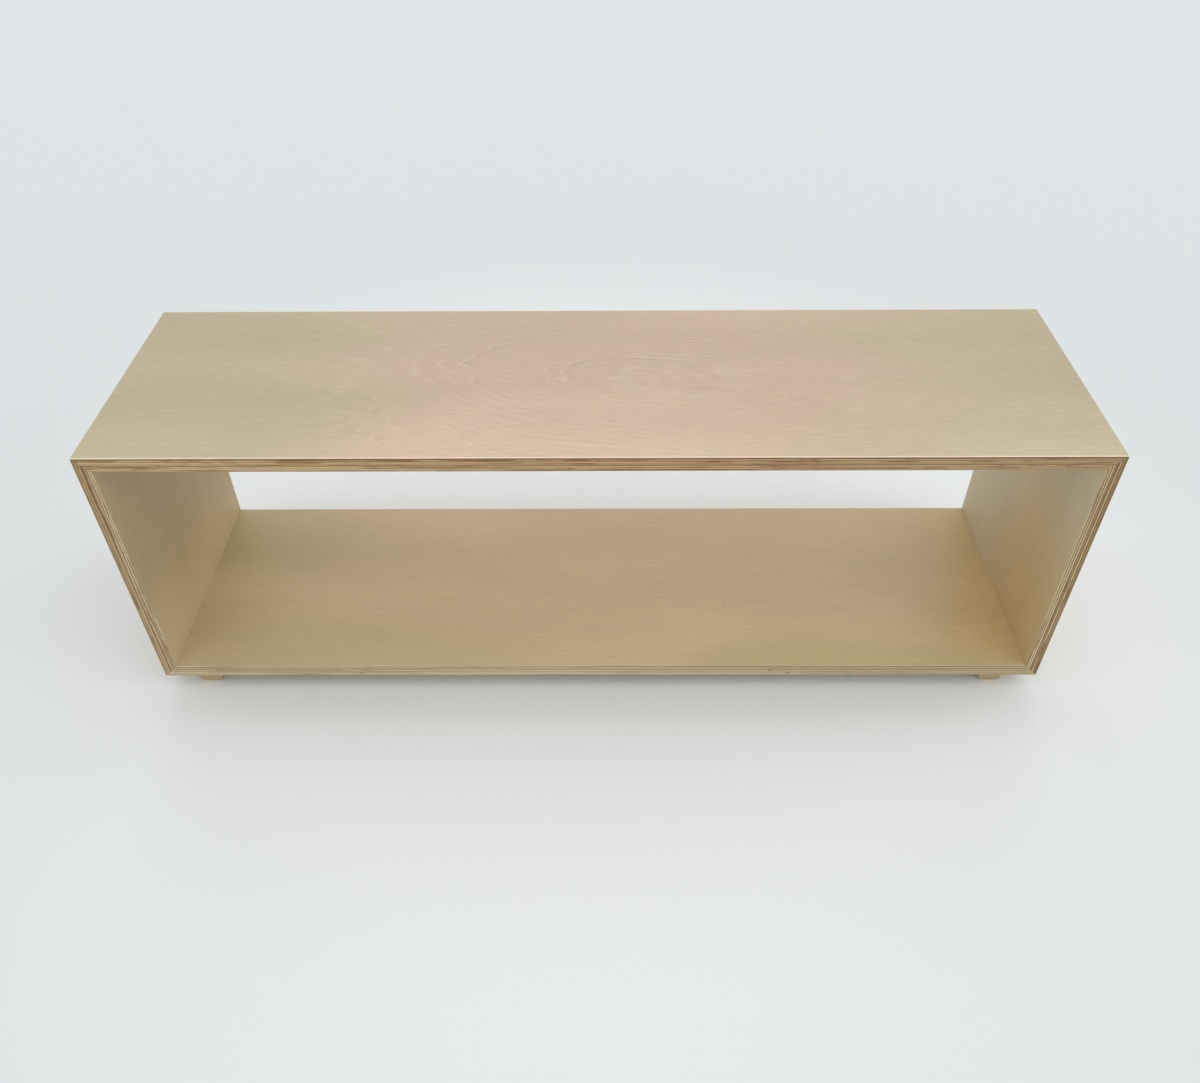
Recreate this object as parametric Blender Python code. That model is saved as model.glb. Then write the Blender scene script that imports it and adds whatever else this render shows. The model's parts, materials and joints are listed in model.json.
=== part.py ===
"""Toy shelf: one open bay of four mitred plywood boards, standing on two front-to-back runners.

Metres, +Z up. The open front faces -Y, and the origin is on the floor under the middle of the shelf.
"""

import math

import bmesh
import bpy

# Overall size of the mitred body, and the thickness of the board it is cut from
LENGTH = 1.100
DEPTH = 0.305
BODY_HEIGHT = 0.345
BOARD = 0.018

# Runners: battens under the bottom panel with rounded lower edges, placed by their centre line from each end
RUNNER_WIDTH = 0.028
RUNNER_HEIGHT = 0.022
RUNNER_INSET = 0.051
RUNNER_SETBACK = 0.011
RUNNER_ROUNDING = 0.005
RUNNER_ROUND_STEPS = 8

# Hand-eased edges, and the outer corners of the body, which are rounded a little more
EDGE_RADIUS = 0.0008
CORNER_RADIUS = 0.0012
ROUND_STEPS = 3

# Beech biscuits across the mitres, and the round blade that cuts the slots for them
BISCUIT_LENGTH = 0.053
BISCUIT_WIDTH = 0.019
BISCUIT_THICKNESS = 0.0037
BISCUIT_TIP = 0.003
BISCUITS_PER_CORNER = 3
BISCUIT_COVER = 0.0115
BLADE_RADIUS = 0.050
SLOT_SPARE_DEPTH = 0.001
ARC_STEPS = 12

# Countersunk wood screws, driven up through each runner into the bottom panel
SCREW_LENGTH = 0.035
SCREW_SHANK_RADIUS = 0.002
SCREW_HEAD_RADIUS = 0.004
SCREW_RIM = 0.0004
SCREW_POINT = 0.005
SCREW_TIP_RADIUS = 0.0004
SCREW_RECESS = 0.0005
SCREWS_PER_RUNNER = 3
SCREW_END_MARGIN = 0.040
SCREW_SIDES = 24

# Clearance between pieces that meet, and how far a drill starts outside the face it enters
GAP = 0.0003
DRILL_START = 0.002

# Levels that follow from the sizes above
FLOOR_Z = RUNNER_HEIGHT
TOP_Z = FLOOR_Z + BODY_HEIGHT
MIDDLE_Z = (FLOOR_Z + TOP_Z) / 2

# Colour, roughness and metallic value of each stock that the pieces are cut from
STOCK = {
    "birch_plywood": ((0.604, 0.474, 0.332), 0.50, 0.0),
    "solid_birch": ((0.560, 0.420, 0.270), 0.55, 0.0),
    "beech": ((0.500, 0.330, 0.200), 0.70, 0.0),
    "zinc_steel": ((0.620, 0.610, 0.580), 0.30, 1.0),
}

# Each board: its outer length, where the middle of its outer face lies, and its turn about Y.
# A board is drawn lying flat with its outer face up.
BOARDS = {
    "top_panel": (LENGTH, (0, 0, TOP_Z), 0),
    "bottom_panel": (LENGTH, (0, 0, FLOOR_Z), 180),
    "left_side": (BODY_HEIGHT, (-LENGTH / 2, 0, MIDDLE_Z), -90),
    "right_side": (BODY_HEIGHT, (LENGTH / 2, 0, MIDDLE_Z), 90),
}

# Each corner: the two boards that meet there, and the turn about Y that points its Z outwards along the mitre
CORNERS = {
    "top_left": ("top_panel", "left_side", -45),
    "top_right": ("top_panel", "right_side", 45),
    "bottom_left": ("bottom_panel", "left_side", -135),
    "bottom_right": ("bottom_panel", "right_side", 135),
}


def clear_scene():
    for item in list(bpy.data.objects):
        bpy.data.objects.remove(item)


def stock_material(name, stock):
    """Return a Principled material named for a piece, with the look of the stock it is cut from."""
    colour, roughness, metallic = STOCK[stock]
    material = bpy.data.materials.new(f"{name}_{stock}")
    material.use_nodes = True
    shader = material.node_tree.nodes["Principled BSDF"]
    shader.inputs["Base Color"].default_value = (*colour, 1.0)
    shader.inputs["Roughness"].default_value = roughness
    shader.inputs["Metallic"].default_value = metallic
    material.diffuse_color = (*colour, 1.0)
    return material


def make_mesh(name, bm, stock=None, rounded=False):
    """Turn a bmesh into a mesh with its faces turned outwards, in a material of its own."""
    bmesh.ops.recalc_face_normals(bm, faces=bm.faces)
    mesh = bpy.data.meshes.new(name)
    bm.to_mesh(mesh)
    bm.free()
    if stock:
        mesh.materials.append(stock_material(name, stock))
    if rounded:
        mesh.shade_smooth()
        mesh.set_sharp_from_angle(angle=math.radians(30))
    return mesh


def place(name, data, parent, location, turn=0):
    """Put an object under its parent, turned by some degrees about Y."""
    item = bpy.data.objects.new(name, data)
    bpy.context.scene.collection.objects.link(item)
    item.parent = parent
    item.location = location
    item.rotation_euler = (0, math.radians(turn), 0)
    return item


def place_cutter(name, data, parent, location):
    cutter = place(name, data, parent, location)
    cutter.hide_render = True
    cutter.display_type = "WIRE"
    return cutter


def cut(piece, cutter):
    """Take the cutter's volume out of a piece with a live Boolean."""
    boolean = piece.modifiers.new(cutter.name, "BOOLEAN")
    boolean.operation = "DIFFERENCE"
    boolean.solver = "EXACT"
    boolean.object = cutter


def loft(bm, rings):
    """Skin a row of rings of points, and close the first and the last with a flat cap."""
    loops = [[bm.verts.new(point) for point in ring] for ring in rings]
    count = len(loops[0])
    for near, far in zip(loops, loops[1:]):
        for i in range(count):
            j = (i + 1) % count
            bm.faces.new((near[i], near[j], far[j], far[i]))
    bm.faces.new(loops[0])
    bm.faces.new(loops[-1])


def centred_row(count, pitch):
    """Return evenly spaced positions on both sides of zero."""
    return [pitch * (i - (count - 1) / 2) for i in range(count)]


def board_outline(outer_length, drawn_in):
    """Return a mitred board's (x, z) outline, with its two faces drawn in by the given amount.

    Each end runs from the outer face round half of the body's rounded corner, then down the mitre,
    which is set back by half the glue line, to the heel on the inner face.
    """
    half = outer_length / 2
    setback = GAP / math.sqrt(2)
    centre = CORNER_RADIUS + drawn_in
    last_turn = math.acos(setback / (CORNER_RADIUS * math.sqrt(2))) - math.pi / 4
    end = []
    for i in range(ROUND_STEPS + 1):
        turn = last_turn * i / ROUND_STEPS
        x = half - centre + CORNER_RADIUS * math.sin(turn)
        z = CORNER_RADIUS * math.cos(turn) - centre
        end.append((x, z))
    heel = BOARD - drawn_in
    end.append((half - setback - heel, -heel))
    return end + [(-x, z) for x, z in reversed(end)]


def build_board(name, shelf):
    """Loft a board from front to back, with its faces drawn in at both ends to ease the long edges."""
    outer_length, location, turn = BOARDS[name]
    front = []
    for i in range(ROUND_STEPS + 1):
        angle = math.pi / 2 * i / ROUND_STEPS
        y = EDGE_RADIUS * (1 - math.cos(angle)) - DEPTH / 2
        front.append((y, EDGE_RADIUS * (1 - math.sin(angle))))
    stations = front + [(-y, drawn_in) for y, drawn_in in reversed(front)]

    bm = bmesh.new()
    loft(bm, [[(x, y, z) for x, z in board_outline(outer_length, drawn_in)] for y, drawn_in in stations])
    return place(name, make_mesh(name, bm, "birch_plywood"), shelf, location, turn)


def arc(half_chord, rise, height):
    """Return (x, y) points on an arc over a chord along Y, with its crown at the given height."""
    radius = (half_chord**2 + rise**2) / (2 * rise)
    half_turn = math.asin(half_chord / radius)
    points = []
    for i in range(ARC_STEPS + 1):
        turn = half_turn * (2 * i / ARC_STEPS - 1)
        points.append((height - radius * (1 - math.cos(turn)), radius * math.sin(turn)))
    return points


def add_lens(bm, side, thickness, middle):
    """Add a flat solid whose outline is an arc on one side of the mitre and its mirror image on the other."""
    outline = side + [(-x, y) for x, y in reversed(side) if x > 0]
    rings = []
    for z in (-thickness / 2, thickness / 2):
        rings.append([(x, y + middle, z) for x, y in outline])
    loft(bm, rings)


def biscuit_mesh():
    bulge = (BISCUIT_WIDTH - BISCUIT_TIP) / 2
    bm = bmesh.new()
    add_lens(bm, arc(BISCUIT_LENGTH / 2, bulge, BISCUIT_WIDTH / 2), BISCUIT_THICKNESS, 0)
    return make_mesh("biscuit", bm, "beech", rounded=True)


def slots_mesh(name, positions):
    """The blade plunges square to the mitre, from each of the two boards in turn."""
    depth = BISCUIT_WIDTH / 2 + SLOT_SPARE_DEPTH
    half_chord = math.sqrt(BLADE_RADIUS**2 - (BLADE_RADIUS - depth) ** 2)
    side = arc(half_chord, depth, depth)
    side[0] = (0, -half_chord)
    side[-1] = (0, half_chord)
    bm = bmesh.new()
    for middle in positions:
        add_lens(bm, side, BISCUIT_THICKNESS + GAP, middle)
    return make_mesh(name, bm)


def build_corner(name, boards, biscuit, shelf):
    """Slot the two boards of a corner and lay the biscuits in, all under one empty on the mitre."""
    first, second, turn = CORNERS[name]
    outwards = math.radians(turn)
    x = math.copysign(LENGTH / 2 - BISCUIT_COVER, math.sin(outwards))
    z = MIDDLE_Z + math.copysign(BODY_HEIGHT / 2 - BISCUIT_COVER, math.cos(outwards))
    corner = place(f"{name}_corner", None, shelf, (x, 0, z), turn)

    positions = centred_row(BISCUITS_PER_CORNER, DEPTH / BISCUITS_PER_CORNER)
    slots = f"{name}_slots"
    cutter = place_cutter(slots, slots_mesh(slots, positions), corner, (0, 0, 0))
    cut(boards[first], cutter)
    cut(boards[second], cutter)
    for number, y in enumerate(positions, start=1):
        place(f"biscuit_{name}_{number}", biscuit, corner, (0, y, 0))


def lathe(bm, y, profile):
    """Turn a profile of (radius, z) points about an upright axis."""
    rings = []
    for radius, z in profile:
        turns = [2 * math.pi * i / SCREW_SIDES for i in range(SCREW_SIDES)]
        rings.append([(radius * math.cos(turn), y + radius * math.sin(turn), z) for turn in turns])
    loft(bm, rings)


def screw_profile(clearance, start):
    """Return a screw's profile from its head up, widened by a clearance where it is the hole for one."""
    cone = SCREW_RIM + clearance
    neck = cone + SCREW_HEAD_RADIUS - SCREW_SHANK_RADIUS
    tip = SCREW_LENGTH + clearance
    return [
        (SCREW_HEAD_RADIUS + clearance, start),
        (SCREW_HEAD_RADIUS + clearance, cone),
        (SCREW_SHANK_RADIUS + clearance, neck),
        (SCREW_SHANK_RADIUS + clearance, tip - SCREW_POINT),
        (SCREW_TIP_RADIUS + clearance, tip),
    ]


def screw_mesh():
    bm = bmesh.new()
    lathe(bm, 0, screw_profile(0, 0))
    return make_mesh("screw", bm, "zinc_steel", rounded=True)


def holes_mesh(name, positions):
    bm = bmesh.new()
    for y in positions:
        lathe(bm, y, screw_profile(GAP, -SCREW_RECESS - DRILL_START))
    return make_mesh(name, bm)


def runner_section():
    """Return a runner's (x, z) cross section, up its right side and then down its left."""
    half_width = RUNNER_WIDTH / 2
    right = []
    for i in range(RUNNER_ROUND_STEPS + 1):
        turn = math.pi / 2 * i / RUNNER_ROUND_STEPS
        x = half_width - RUNNER_ROUNDING * (1 - math.sin(turn))
        z = RUNNER_ROUNDING * (1 - math.cos(turn))
        right.append((x, z))
    right.append((half_width, RUNNER_HEIGHT - GAP))
    return right + [(-x, z) for x, z in reversed(right)]


def build_runner(side, x, bottom_panel, screw, shelf):
    """Build a runner, drill it together with the bottom panel, and drive its screws."""
    name = f"runner_{side}"
    half_length = DEPTH / 2 - RUNNER_SETBACK
    section = runner_section()
    bm = bmesh.new()
    loft(bm, [[(across, y, z) for across, z in section] for y in (-half_length, half_length)])
    runner = place(name, make_mesh(name, bm, "solid_birch"), shelf, (x, 0, 0))

    bevel = runner.modifiers.new("eased_edges", "BEVEL")
    bevel.width = EDGE_RADIUS
    bevel.segments = ROUND_STEPS
    bevel.limit_method = "ANGLE"

    pitch = 2 * (half_length - SCREW_END_MARGIN) / max(SCREWS_PER_RUNNER - 1, 1)
    positions = centred_row(SCREWS_PER_RUNNER, pitch)
    holes = f"{name}_holes"
    drill = place_cutter(holes, holes_mesh(holes, positions), runner, (0, 0, SCREW_RECESS))
    cut(runner, drill)
    cut(bottom_panel, drill)
    for number, y in enumerate(positions, start=1):
        place(f"screw_{side}_{number}", screw, shelf, (x, y, SCREW_RECESS))


def main():
    clear_scene()
    shelf = place("toy_shelf", None, None, (0, 0, 0))
    boards = {name: build_board(name, shelf) for name in BOARDS}

    biscuit = biscuit_mesh()
    for name in CORNERS:
        build_corner(name, boards, biscuit, shelf)

    screw = screw_mesh()
    runner_x = LENGTH / 2 - RUNNER_INSET
    build_runner("left", -runner_x, boards["bottom_panel"], screw, shelf)
    build_runner("right", runner_x, boards["bottom_panel"], screw, shelf)


main()
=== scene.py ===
# %% [markdown]
# # A low toy shelf of mitred birch plywood
# The real shelf is a long box, open at the front and the back. Four plywood boards meet in mitres at the
# corners, and the layers of the board are left to view on every edge. Two battens lift the box off the floor.
# The CAD model already has every solid in its place. This lesson dresses it: it builds boards whose edges
# show their layers, gives each wood its own figure, and makes the screws that hold the battens.

# %% Load the CAD model as a fixed frame
import json
from math import pi, radians, sqrt
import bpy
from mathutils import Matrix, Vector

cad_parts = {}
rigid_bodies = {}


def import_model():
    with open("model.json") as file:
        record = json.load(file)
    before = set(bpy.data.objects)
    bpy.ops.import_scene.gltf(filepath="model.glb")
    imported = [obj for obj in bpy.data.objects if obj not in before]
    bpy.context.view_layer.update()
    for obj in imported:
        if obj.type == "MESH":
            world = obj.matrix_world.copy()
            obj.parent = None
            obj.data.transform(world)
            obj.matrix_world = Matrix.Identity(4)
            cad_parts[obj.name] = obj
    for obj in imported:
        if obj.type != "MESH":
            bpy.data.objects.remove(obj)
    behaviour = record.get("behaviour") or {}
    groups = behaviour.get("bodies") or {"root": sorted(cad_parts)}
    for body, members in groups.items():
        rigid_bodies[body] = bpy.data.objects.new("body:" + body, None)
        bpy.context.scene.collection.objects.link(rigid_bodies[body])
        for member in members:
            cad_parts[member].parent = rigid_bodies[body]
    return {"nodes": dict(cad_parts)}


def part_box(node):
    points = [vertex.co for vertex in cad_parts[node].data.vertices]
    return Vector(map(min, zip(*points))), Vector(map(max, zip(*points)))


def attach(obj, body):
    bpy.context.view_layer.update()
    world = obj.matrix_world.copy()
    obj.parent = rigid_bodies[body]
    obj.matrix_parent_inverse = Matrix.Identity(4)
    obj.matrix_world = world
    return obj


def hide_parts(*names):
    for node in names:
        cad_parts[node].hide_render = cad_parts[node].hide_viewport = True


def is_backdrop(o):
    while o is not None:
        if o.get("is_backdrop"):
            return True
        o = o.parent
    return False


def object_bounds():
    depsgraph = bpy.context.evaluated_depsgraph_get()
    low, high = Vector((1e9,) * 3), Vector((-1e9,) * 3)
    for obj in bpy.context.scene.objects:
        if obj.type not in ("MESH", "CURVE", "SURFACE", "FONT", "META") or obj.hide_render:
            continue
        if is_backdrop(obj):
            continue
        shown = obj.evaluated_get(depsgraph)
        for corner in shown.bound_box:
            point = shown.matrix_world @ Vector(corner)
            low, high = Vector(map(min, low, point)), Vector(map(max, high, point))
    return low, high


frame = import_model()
from types import SimpleNamespace
import bmesh
import bpy
from mathutils import Euler, Matrix, Vector

cad_low, cad_high = (Vector(corner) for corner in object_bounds())
MM = 0.001
print("CAD box in mm:", [round(side / MM, 1) for side in cad_high - cad_low], "nodes:", len(frame["nodes"]))

# %% [markdown]
# ## The camera
# The photograph looks down on the shelf from about a metre above the floor. Eight corners of the box were
# measured in it, and the camera that puts all eight back in their places has this position, these angles and
# this focal length. The camera comes first, so that every later step can be compared with the photograph.

# %% Set up the camera
PHOTO_WIDTH = 1200
FOCAL_PIXELS = 1013.06
SENSOR_WIDTH = 36.0
CAMERA_PLACE = (0.00981, -0.98959, 1.00638)
CAMERA_ANGLES = (47.897, 0.350, 0.225)


def add_object(name, data):
    made = bpy.data.objects.new(name, data)
    bpy.context.scene.collection.objects.link(made)
    return made


camera = add_object("camera", bpy.data.cameras.new("camera"))
camera.data.sensor_width = SENSOR_WIDTH
camera.data.lens = SENSOR_WIDTH * FOCAL_PIXELS / PHOTO_WIDTH
camera.location = CAMERA_PLACE
camera.rotation_euler = [radians(angle) for angle in CAMERA_ANGLES]
bpy.context.scene.camera = camera
bpy.context.scene.view_settings.view_transform = "Standard"
print("lens in mm:", round(camera.data.lens, 2))

# %% [markdown]
# ## Helpers for colours and nodes
# Colours are written as sRGB hex values, as a paint program shows them, but a shader works in linear light,
# so one function converts them. One other small function adds a node, sets its options and fills its sockets,
# and the materials and the Geometry Nodes trees below are all built with it. A socket is called by its name,
# or by its number where a node has several sockets of one name. The long names of nodes that come up often,
# and settings that repeat, get a short name here. Below, t is the tree of a material, and g is a Geometry
# Nodes tree.

# %% Short names for nodes and settings
MATH = "ShaderNodeMath"
VECTOR_MATH = "ShaderNodeVectorMath"
RANGE = "ShaderNodeMapRange"
MIX = "ShaderNodeMix"
NOISE = "ShaderNodeTexNoise"
MAPPING = "ShaderNodeMapping"
JOIN_XYZ = "ShaderNodeCombineXYZ"
SPLIT_XYZ = "ShaderNodeSeparateXYZ"
SWITCH = "GeometryNodeSwitch"
STORE = "GeometryNodeStoreNamedAttribute"
RECALL = "GeometryNodeInputNamedAttribute"
# a Mix node has sockets for every kind of data: these are its factor, its two vectors and its two colours
FACTOR, VECTOR_A, VECTOR_B, COLOUR_A, COLOUR_B = 0, 4, 5, 6, 7
MIX_VECTORS = dict(out=1, data_type="VECTOR")
MIX_COLOURS = dict(out=2, data_type="RGBA")
SMOOTH = dict(interpolation_type="SMOOTHSTEP")
print("a colour mix takes its factor and its two colours at sockets", FACTOR, COLOUR_A, COLOUR_B)


# %% Colours, nodes and materials
def colour(code):
    parts = [int(code[i:i + 2], 16) / 255 for i in (1, 3, 5)]
    return [c / 12.92 if c <= 0.04045 else ((c + 0.055) / 1.055) ** 2.4 for c in parts] + [1.0]


def add_node(tree, kind, sockets=None, out=0, **settings):
    node = tree.nodes.new(kind)
    for name, value in settings.items():
        setattr(node, name, value)
    for key, value in (sockets or {}).items():
        if isinstance(value, bpy.types.NodeSocket):
            tree.links.new(value, node.inputs[key])
        else:
            node.inputs[key].default_value = value
    # the node that ends a tree has no output to hand on
    return node.outputs[out] if node.outputs else None


def start_material(name):
    material = bpy.data.materials.new(name)
    material.use_nodes = True
    material.node_tree.nodes.clear()
    return material, material.node_tree


print("birch in linear light:", [round(c, 3) for c in colour("#C9B79A")[:3]])

# %% [markdown]
# ## Floor and light
# The shelf stands on a plain pale floor in soft daylight. The floor turns greyer further off, which is
# painted light:
# its colour falls off with distance from the shelf as light would. A bright world lights it from all round,
# as a cloudy sky does. The camera and shiny things see a plain pale backdrop instead.
# Three broad suns stand for windows: a strong one on the right, a weak one on the left, and one behind, which
# reaches through the open back to the floor of the bay. None stands in front, so the layered edges stay
# darker than the top. A sun whose angle is very wide casts the soft shadows of a large window, and it lights
# the whole floor evenly, which a lamp nearby would not. Together they give about the light at which a colour
# renders as it is written.

# %% The floor
FLOOR_REACH = 9.0
FLOOR_CORNERS = 96
# a hair below the battens, so that the two surfaces don't share a plane
FLOOR_DROP = 0.2 * MM
# painted light: the floor is palest up to the first distance from the middle, and greyest from the second on,
# in metres
PALE_TO, GREY_FROM = 0.4, 1.1

floor_mesh = bpy.data.meshes.new("floor")
shape = bmesh.new()
lowered = Matrix.Translation((0, 0, -FLOOR_DROP))
bmesh.ops.create_circle(shape, cap_ends=True, radius=FLOOR_REACH, segments=FLOOR_CORNERS, matrix=lowered)
shape.to_mesh(floor_mesh)
shape.free()
floor = add_object("floor", floor_mesh)
floor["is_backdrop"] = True

floor_paint, t = start_material("pale_floor")
spot = add_node(t, "ShaderNodeTexCoord", out="Object")
# the floor's painted falloff of light, from pale in the middle to grey further off
painted_falloff = add_node(t, VECTOR_MATH, {0: spot}, out="Value", operation="LENGTH")
painted_falloff = add_node(t, RANGE, {"Value": painted_falloff, "From Min": PALE_TO, "From Max": GREY_FROM}, **SMOOTH)
paint = add_node(t, MIX, {FACTOR: painted_falloff, COLOUR_A: colour("#F0F4F5"), COLOUR_B: colour("#DCE1E3")},
                 **MIX_COLOURS)
shader = add_node(t, "ShaderNodeBsdfPrincipled", {"Base Color": paint, "Roughness": 0.9})
add_node(t, "ShaderNodeOutputMaterial", {"Surface": shader})
floor_mesh.materials.append(floor_paint)
print("floor radius in m:", FLOOR_REACH)

# %% World and daylight
CLOUD_LIGHT = 0.74
DAYLIGHT = {
    "daylight_right": dict(comes_from=(1.0, -0.1, 0.7), spread=75, strength=0.81),
    "daylight_left": dict(comes_from=(-1.0, -0.1, 0.7), spread=75, strength=0.21),
    "daylight_behind": dict(comes_from=(0.0, 1.0, 0.5), spread=60, strength=0.57),
}

world = bpy.data.worlds.new("daylight")
bpy.context.scene.world = world
world.use_nodes = True
sky = world.node_tree
sky.nodes.clear()
rays = add_node(sky, "ShaderNodeLightPath").node.outputs
seen = add_node(sky, MATH, {0: rays["Is Camera Ray"], 1: rays["Is Glossy Ray"]}, operation="MAXIMUM")
seen = add_node(sky, MATH, {0: seen, 1: rays["Is Transmission Ray"]}, operation="MAXIMUM")
clouds = add_node(sky, "ShaderNodeBackground", {"Color": colour("#FFFFFF"), "Strength": CLOUD_LIGHT})
backdrop = add_node(sky, "ShaderNodeBackground", {"Color": colour("#E6E7E6"), "Strength": 1.0})
mixed = add_node(sky, "ShaderNodeMixShader", {0: seen, 1: clouds, 2: backdrop})
add_node(sky, "ShaderNodeOutputWorld", {"Surface": mixed})

for name, light in DAYLIGHT.items():
    lamp = bpy.data.lights.new(name, "SUN")
    lamp.energy = light["strength"]
    lamp.angle = radians(light["spread"])
    sun = add_object(name, lamp)
    sun.rotation_euler = Vector(light["comes_from"]).to_track_quat("Z", "Y").to_euler()
print("suns:", {name: light["strength"] for name, light in DAYLIGHT.items()})

# %% [markdown]
# ## The boards
# Each board is 18 mm plywood: thirteen birch veneers of about 1.4 mm, glued with the grain crosswise in turn.
# The long edges are eased with sandpaper, a fine line shows between the veneers, and the ends are cut at 45
# degrees. A plain box would hide all of that. The shape follows a rule, so a Geometry Nodes tree makes it:
# one outline of the board's cross section, with a small groove at every glue line, is swept from one mitre
# to the other. Three points per veneer give the outline: the veneer's two shoulders and the bottom of the
# groove below it.

# %% Sizes of the boards
LENGTH = cad_high.x - cad_low.x
DEPTH = cad_high.y - cad_low.y
TOP_Z = cad_high.z
BASE_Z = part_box("bottom_panel")[0][2]
HEIGHT = TOP_Z - BASE_Z
BOARD = 18 * MM
VENEERS = 13
BOARD_SIZES = {
    "Depth": DEPTH, "Thickness": BOARD, "Veneers": VENEERS,
    # the groove is what sanding leaves at a glue line
    "Groove Half Width": 0.16 * MM, "Groove Depth": 0.14 * MM,
    "Edge Radius": 0.8 * MM, "Corner Radius": 1.2 * MM, "Corner Steps": 4, "Glue Line": 0.1 * MM,
}
print("board sizes in mm:", {k: round(v / MM, 2) for k, v in BOARD_SIZES.items() if isinstance(v, float)})


# %% A tree with named inputs
def start_tree(name, sizes):
    tree = bpy.data.node_groups.new(name, "GeometryNodeTree")
    tree.interface.new_socket("Geometry", in_out="INPUT", socket_type="NodeSocketGeometry")
    for label, value in sizes.items():
        kind = "NodeSocketInt" if isinstance(value, int) else "NodeSocketFloat"
        tree.interface.new_socket(label, in_out="INPUT", socket_type=kind)
    tree.interface.new_socket("Material", in_out="INPUT", socket_type="NodeSocketMaterial")
    tree.interface.new_socket("Geometry", in_out="OUTPUT", socket_type="NodeSocketGeometry")
    return tree


board_tree = start_tree("plywood_board", {"Length": LENGTH, **BOARD_SIZES})
sockets = board_tree.interface.items_tree
print("inputs of the board's tree:", [socket.name for socket in sockets if socket.in_out == "INPUT"])

# %% Geometry Nodes tree: number the points of the outline
POINTS_PER_VENEER = 3.0
g = board_tree
size = add_node(g, "NodeGroupInput").node.outputs
index = add_node(g, "GeometryNodeInputIndex")
half_count = add_node(g, MATH, {0: size["Veneers"], 1: POINTS_PER_VENEER}, operation="MULTIPLY")
full_count = add_node(g, MATH, {0: half_count, 1: 2.0}, operation="MULTIPLY")
# the first half of the points runs down the front edge, and the second half up the back edge. Here and below
# a whole number is tested against a half, so that rounding can't tip the result
front_points = add_node(g, MATH, {0: half_count, 1: 0.5}, operation="SUBTRACT")
at_back = add_node(g, MATH, {0: index, 1: front_points}, operation="GREATER_THAN")
mirrored = add_node(g, MATH, {0: full_count, 1: index}, operation="SUBTRACT")
mirrored = add_node(g, MATH, {0: mirrored, 1: 1.0}, operation="SUBTRACT")
point = add_node(g, SWITCH, {"Switch": at_back, "False": index, "True": mirrored}, input_type="FLOAT")
layer = add_node(g, MATH, {0: point, 1: POINTS_PER_VENEER}, operation="DIVIDE")
layer = add_node(g, MATH, {0: layer}, operation="FLOOR")
corner = add_node(g, MATH, {0: point, 1: POINTS_PER_VENEER}, operation="MODULO")
print("nodes that number the points:", len(g.nodes))

# %% Geometry Nodes tree: shoulders and grooves
CLEAR_OF_ARRIS = 0.4
HAIR = 0.01 * MM
veneer = add_node(g, MATH, {0: size["Thickness"], 1: size["Veneers"]}, operation="DIVIDE")
# the very first shoulder is the arris itself, which has no groove above it
upper = add_node(g, MATH, {0: size["Groove Half Width"], 1: point}, operation="MINIMUM")
lower = add_node(g, MATH, {0: veneer, 1: size["Groove Half Width"]}, operation="SUBTRACT")
# the last veneer has no groove below it: its lower shoulder keeps clear of the arris, which is rounded later
last_layer = add_node(g, MATH, {0: size["Veneers"], 1: 1.5}, operation="SUBTRACT")
is_last = add_node(g, MATH, {0: layer, 1: last_layer}, operation="GREATER_THAN")
clear = add_node(g, MATH, {0: veneer, 1: CLEAR_OF_ARRIS}, operation="MULTIPLY")
lower = add_node(g, SWITCH, {"Switch": is_last, "False": lower, "True": clear}, input_type="FLOAT")
step = add_node(g, "GeometryNodeIndexSwitch", data_type="FLOAT").node
step.index_switch_items.new()
for socket, value in zip(step.inputs, (corner, upper, lower, veneer)):
    g.links.new(value, socket)
below = add_node(g, MATH, {0: layer, 1: veneer, 2: step.outputs[0]}, operation="MULTIPLY_ADD")
in_groove = add_node(g, MATH, {0: corner, 1: 1.5}, operation="GREATER_THAN")
inside = add_node(g, MATH, {0: size["Thickness"], 1: HAIR}, operation="SUBTRACT")
not_last = add_node(g, MATH, {0: below, 1: inside}, operation="LESS_THAN")
recess = add_node(g, MATH, {0: in_groove, 1: not_last}, operation="MULTIPLY")
recess = add_node(g, MATH, {0: recess, 1: size["Groove Depth"]}, operation="MULTIPLY")
front = add_node(g, MATH, {0: size["Depth"], 1: -0.5, 2: recess}, operation="MULTIPLY_ADD")
back = add_node(g, MATH, {0: front, 1: -1.0}, operation="MULTIPLY")
across = add_node(g, SWITCH, {"Switch": at_back, "False": front, "True": back}, input_type="FLOAT")
print("nodes with the grooves:", len(g.nodes))

# %% Geometry Nodes tree: the outline, with its four arrises eased
ARRIS_STEPS = 4
outline_place = add_node(g, JOIN_XYZ, {0: across, 1: below})
outline = add_node(g, "GeometryNodePoints", {"Count": full_count, "Position": outline_place})
outline = add_node(g, "GeometryNodePointsToCurves", {"Points": outline})
outline = add_node(g, "GeometryNodeSetSplineCyclic", {"Geometry": outline, "Cyclic": True})
here = add_node(g, "GeometryNodeInputPosition")
depth_here = add_node(g, SPLIT_XYZ, {0: here}, out=1)
middle = add_node(g, MATH, {0: size["Thickness"], 1: 0.5}, operation="MULTIPLY")
from_middle = add_node(g, MATH, {0: depth_here, 1: middle}, operation="SUBTRACT")
from_middle = add_node(g, MATH, {0: from_middle}, operation="ABSOLUTE")
nearly = add_node(g, MATH, {0: middle, 1: HAIR}, operation="SUBTRACT")
is_arris = add_node(g, MATH, {0: from_middle, 1: nearly}, operation="GREATER_THAN")
rounding = add_node(g, MATH, {0: is_arris, 1: size["Edge Radius"]}, operation="MULTIPLY")
outline = add_node(g, "GeometryNodeFilletCurve",
                   {"Curve": outline, "Radius": rounding, "Count": ARRIS_STEPS}, mode="POLY")
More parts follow.
